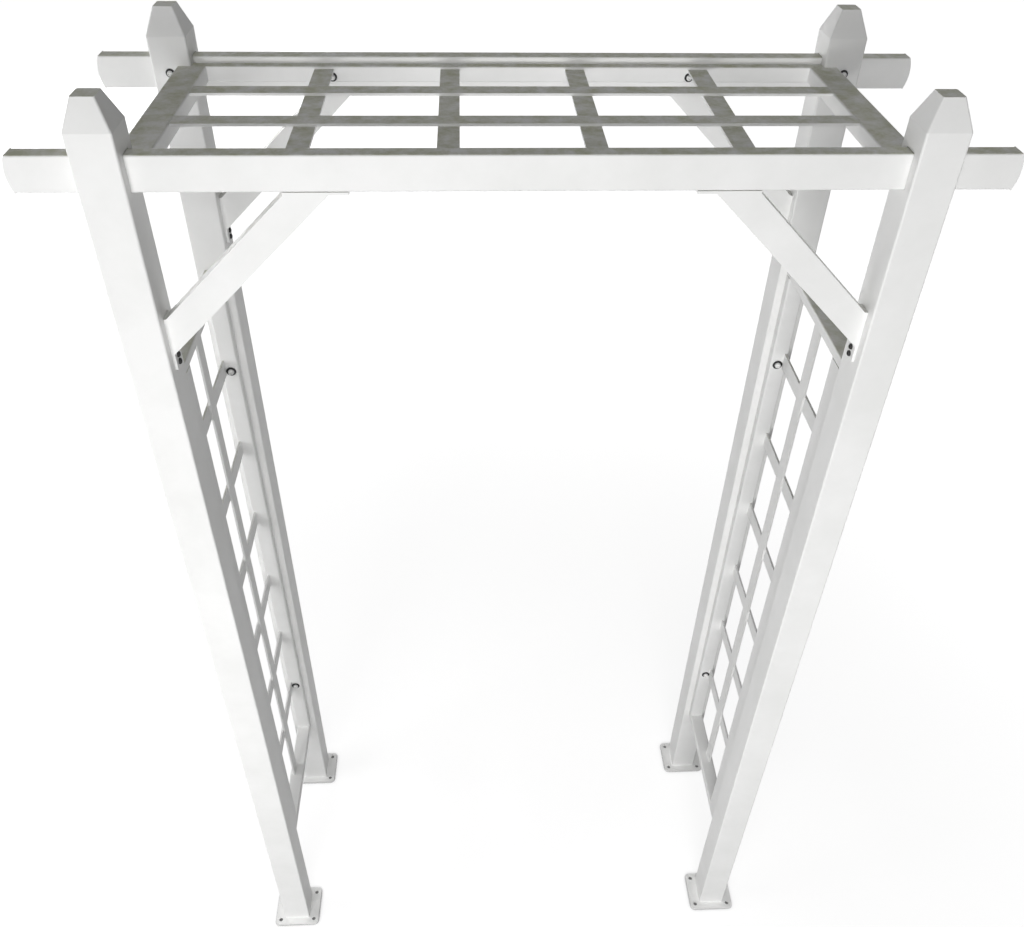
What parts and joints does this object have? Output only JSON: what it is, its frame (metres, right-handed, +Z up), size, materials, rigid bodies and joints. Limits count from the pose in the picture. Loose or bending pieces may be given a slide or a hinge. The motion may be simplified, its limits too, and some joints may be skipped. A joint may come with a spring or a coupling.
{
  "type": "garden arbor arch",
  "caption": "White metal garden arbor with square tube posts on foot plates, through beams, knee braces, a flat lattice top and lattice side panels; plants climb it and people walk through.",
  "frame": {"origin": "on the ground, midway between the four posts", "axes": "+Z up, +X across the walkway to the right as seen from the front, -Y towards the front"},
  "size_m": [1.3, 0.479, 2.09],
  "materials": {
    "tubes": "satin white powder coat",
    "slats": "satin white powder coat",
    "plates": "satin white powder coat",
    "caps": "satin white powder coat"
  },
  "bodies": {
    "root": {"post_front_left": "tubes", "post_front_right": "tubes", "post_back_left": "tubes", "post_back_right": "tubes", "post_cap_front_left": "caps", "post_cap_front_right": "caps", "post_cap_back_left": "caps", "post_cap_back_right": "caps", "foot_plate_front_left": "plates", "foot_plate_front_right": "plates", "foot_plate_back_left": "plates", "foot_plate_back_right": "plates", "beam_front": "tubes", "beam_back": "tubes", "beam_cap_front_left": "caps", "beam_cap_front_right": "caps", "beam_cap_back_left": "caps", "beam_cap_back_right": "caps", "brace_front_left": "tubes", "brace_front_right": "tubes", "brace_back_left": "tubes", "brace_back_right": "tubes", "brace_plates_front_left": "plates", "brace_plates_front_right": "plates", "brace_plates_back_left": "plates", "brace_plates_back_right": "plates", "top_rail_front": "tubes", "top_rail_back": "tubes", "top_rail_left": "tubes", "top_rail_right": "tubes", "top_lattice": "slats", "panel_left_rail_top": "tubes", "panel_left_rail_bottom": "tubes", "panel_left_rail_front": "tubes", "panel_left_rail_back": "tubes", "panel_left_lattice": "slats", "panel_right_rail_top": "tubes", "panel_right_rail_bottom": "tubes", "panel_right_rail_front": "tubes", "panel_right_rail_back": "tubes", "panel_right_lattice": "slats"}
  },
  "joints": []
}
